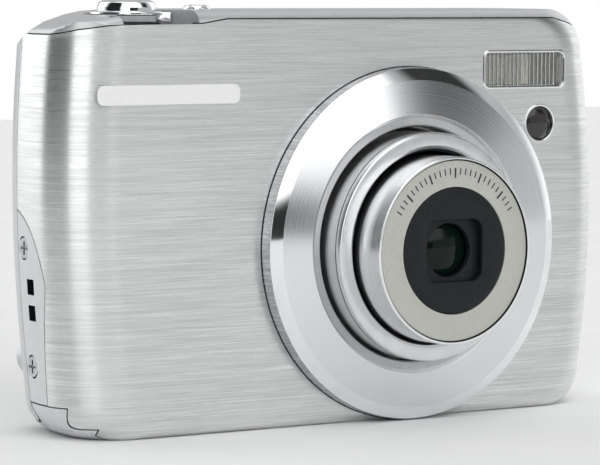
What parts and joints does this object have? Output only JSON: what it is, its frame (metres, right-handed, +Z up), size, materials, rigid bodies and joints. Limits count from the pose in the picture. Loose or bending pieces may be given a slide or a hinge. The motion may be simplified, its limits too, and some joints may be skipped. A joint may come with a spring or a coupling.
{
  "type": "compact digital camera",
  "caption": "Slim compact camera with a two-stage zoom lens, flash, rear screen, sprung keys, shutter button, zoom ring and a sliding, hinged battery door.",
  "frame": {"origin": "On the flat base, below the middle of the body's width, in the plane 12 mm behind the front face.", "axes": "+X to the right seen from the front, along the width. +Y from the lens towards the screen. +Z up."},
  "size_m": [0.0923, 0.0339, 0.0584],
  "materials": {
    "brushed_metal": "horizontally brushed",
    "silver_plastic": "satin silver",
    "polished_metal": "polished",
    "satin_metal": "satin",
    "champagne_metal": "fine satin",
    "black_plastic": "matte black",
    "lens_glass": "coated",
    "clear_plastic": "clear, ribbed inside",
    "steel": "plain",
    "brass": "plain",
    "circuit_board": "solder mask",
    "nylon": "moulded",
    "battery_wrap": "plain wrap",
    "white_plastic": "plain",
    "rubber": "silicone"
  },
  "bodies": {
    "camera_body": {"front_shell": "brushed_metal", "name_badge": "white_plastic", "rear_shell": "silver_plastic", "top_cover": "silver_plastic", "grip_side_plate": "silver_plastic", "strap_anchor": "steel", "side_screw_upper": "steel", "side_screw_lower": "steel", "lens_bezel": "polished_metal", "lens_housing": "black_plastic", "image_sensor": "black_plastic", "zoom_motor": "steel", "flash_window": "clear_plastic", "flash_reflector": "polished_metal", "flash_tube": "clear_plastic", "flash_capacitor": "black_plastic", "lamp_lens": "clear_plastic", "lamp_reflector": "polished_metal", "shutter_switch": "black_plastic", "top_board": "circuit_board", "battery_case": "black_plastic", "battery": "battery_wrap", "card_socket": "steel", "memory_card": "battery_wrap", "chassis": "steel", "main_board": "circuit_board", "screen_module": "black_plastic", "screen_window": "lens_glass", "key_board": "circuit_board", "tripod_bush": "brass", "usb_socket": "steel", "speaker": "black_plastic"},
    "outer_barrel": {"outer_zoom_barrel": "satin_metal", "zoom_group_carrier": "black_plastic", "zoom_lens": "lens_glass", "iris_shutter_unit": "black_plastic"},
    "inner_barrel": {"inner_zoom_barrel": "satin_metal", "name_ring": "champagne_metal", "aperture_mask": "black_plastic", "front_lens_frame": "black_plastic", "front_lens": "lens_glass"},
    "upper_blade": {"barrier_blade_upper": "black_plastic"},
    "lower_blade": {"barrier_blade_lower": "black_plastic"},
    "focus_group": {"focus_lens_holder": "black_plastic", "focus_lens": "lens_glass"},
    "cam_ring": {"cam_ring": "nylon"},
    "idler_gear": {"idler_gear": "nylon"},
    "motor_pinion": {"motor_pinion": "brass"},
    "zoom_ring": {"zoom_ring": "polished_metal"},
    "shutter_button": {"shutter_button": "polished_metal"},
    "power_button": {"power_button": "polished_metal"},
    "door_slide": {"door_hinge_pin": "steel"},
    "battery_door": {"battery_door": "silver_plastic"},
    "navigation_pad": {"navigation_rubber": "rubber"},
    "navigation_ring": {"navigation_ring": "silver_plastic"},
    "ok_button": {"ok_button": "silver_plastic"},
    "mode_button": {"mode_button": "silver_plastic"},
    "playback_button": {"playback_button": "silver_plastic"},
    "menu_button": {"menu_button": "silver_plastic"},
    "delete_button": {"delete_button": "silver_plastic"}
  },
  "joints": [
    {"name": "cam_ring_turn", "type": "hinge", "parent": "camera_body", "child": "cam_ring", "pos_m": [0.01, -0.0055, 0.0246], "axis": [0, 1, 0], "range_deg": [0, 46.45]},
    {"name": "outer_barrel_slide", "type": "slide", "parent": "camera_body", "child": "outer_barrel", "axis": [0, 1, 0], "range_m": [0, 0.0032]},
    {"name": "inner_barrel_slide", "type": "slide", "parent": "outer_barrel", "child": "inner_barrel", "axis": [0, 1, 0], "range_m": [0, 0.0048]},
    {"name": "idler_turn", "type": "hinge", "parent": "camera_body", "child": "idler_gear", "pos_m": [-0.00574, -0.00965, 0.04034], "axis": [0, 1, 0], "range_deg": [-240, 0]},
    {"name": "pinion_turn", "type": "hinge", "parent": "camera_body", "child": "motor_pinion", "pos_m": [-0.01045, -0.00965, 0.04505], "axis": [0, 1, 0], "range_deg": [0, 288]},
    {"name": "upper_blade_swing", "type": "hinge", "parent": "inner_barrel", "child": "upper_blade", "pos_m": [-0.001, -0.02205, 0.024], "axis": [0, 1, 0], "range_deg": [0, 32]},
    {"name": "lower_blade_swing", "type": "hinge", "parent": "inner_barrel", "child": "lower_blade", "pos_m": [0.021, -0.02205, 0.0244], "axis": [0, 1, 0], "range_deg": [0, 32]},
    {"name": "focus_slide", "type": "slide", "parent": "camera_body", "child": "focus_group", "axis": [0, -1, 0], "range_m": [-0.0006, 0.0014]},
    {"name": "zoom_ring_turn", "type": "hinge", "parent": "camera_body", "child": "zoom_ring", "pos_m": [-0.0305, -0.0032, 0.0556], "axis": [0, 0, 1], "range_deg": [-12, 12], "stiffness_Nm_per_rad": 0.02},
    {"name": "shutter_press", "type": "slide", "parent": "camera_body", "child": "shutter_button", "axis": [0, 0, -1], "range_m": [0, 0.0009], "stiffness_N_per_m": 600},
    {"name": "power_press", "type": "slide", "parent": "camera_body", "child": "power_button", "axis": [0, 0, -1], "range_m": [0, 0.0004], "stiffness_N_per_m": 1000},
    {"name": "door_slide", "type": "slide", "parent": "camera_body", "child": "door_slide", "axis": [-1, 0, 0], "range_m": [0, 0.0025]},
    {"name": "door_swing", "type": "hinge", "parent": "door_slide", "child": "battery_door", "pos_m": [-0.01305, -0.0021, 0.00085], "axis": [0, -1, 0], "range_deg": [0, 80]},
    {"name": "navigation_tilt_sideways", "type": "hinge", "parent": "camera_body", "child": "navigation_pad", "pos_m": [-0.031, 0.0074, 0.024], "axis": [0, 0, 1], "range_deg": [-2, 2], "stiffness_Nm_per_rad": 0.08},
    {"name": "navigation_tilt_upright", "type": "hinge", "parent": "navigation_pad", "child": "navigation_ring", "pos_m": [-0.031, 0.0074, 0.024], "axis": [1, 0, 0], "range_deg": [-2, 2], "stiffness_Nm_per_rad": 0.08},
    {"name": "ok_press", "type": "slide", "parent": "camera_body", "child": "ok_button", "axis": [0, -1, 0], "range_m": [0, 0.0005], "stiffness_N_per_m": 1000},
    {"name": "mode_press", "type": "slide", "parent": "camera_body", "child": "mode_button", "axis": [0, -1, 0], "range_m": [0, 0.0005], "stiffness_N_per_m": 1000},
    {"name": "playback_press", "type": "slide", "parent": "camera_body", "child": "playback_button", "axis": [0, -1, 0], "range_m": [0, 0.0005], "stiffness_N_per_m": 1000},
    {"name": "menu_press", "type": "slide", "parent": "camera_body", "child": "menu_button", "axis": [0, -1, 0], "range_m": [0, 0.0005], "stiffness_N_per_m": 1000},
    {"name": "delete_press", "type": "slide", "parent": "camera_body", "child": "delete_button", "axis": [0, -1, 0], "range_m": [0, 0.0005], "stiffness_N_per_m": 1000}
  ],
  "couplings": [
    {"joint": "cam_ring_turn", "follows": "outer_barrel_slide", "rad_per_m": 253.35},
    {"joint": "inner_barrel_slide", "follows": "outer_barrel_slide", "ratio": 1.5},
    {"joint": "idler_turn", "follows": "outer_barrel_slide", "rad_per_m": -1309},
    {"joint": "pinion_turn", "follows": "outer_barrel_slide", "rad_per_m": 1570.8},
    {"joint": "lower_blade_swing", "follows": "upper_blade_swing", "ratio": 1}
  ]
}
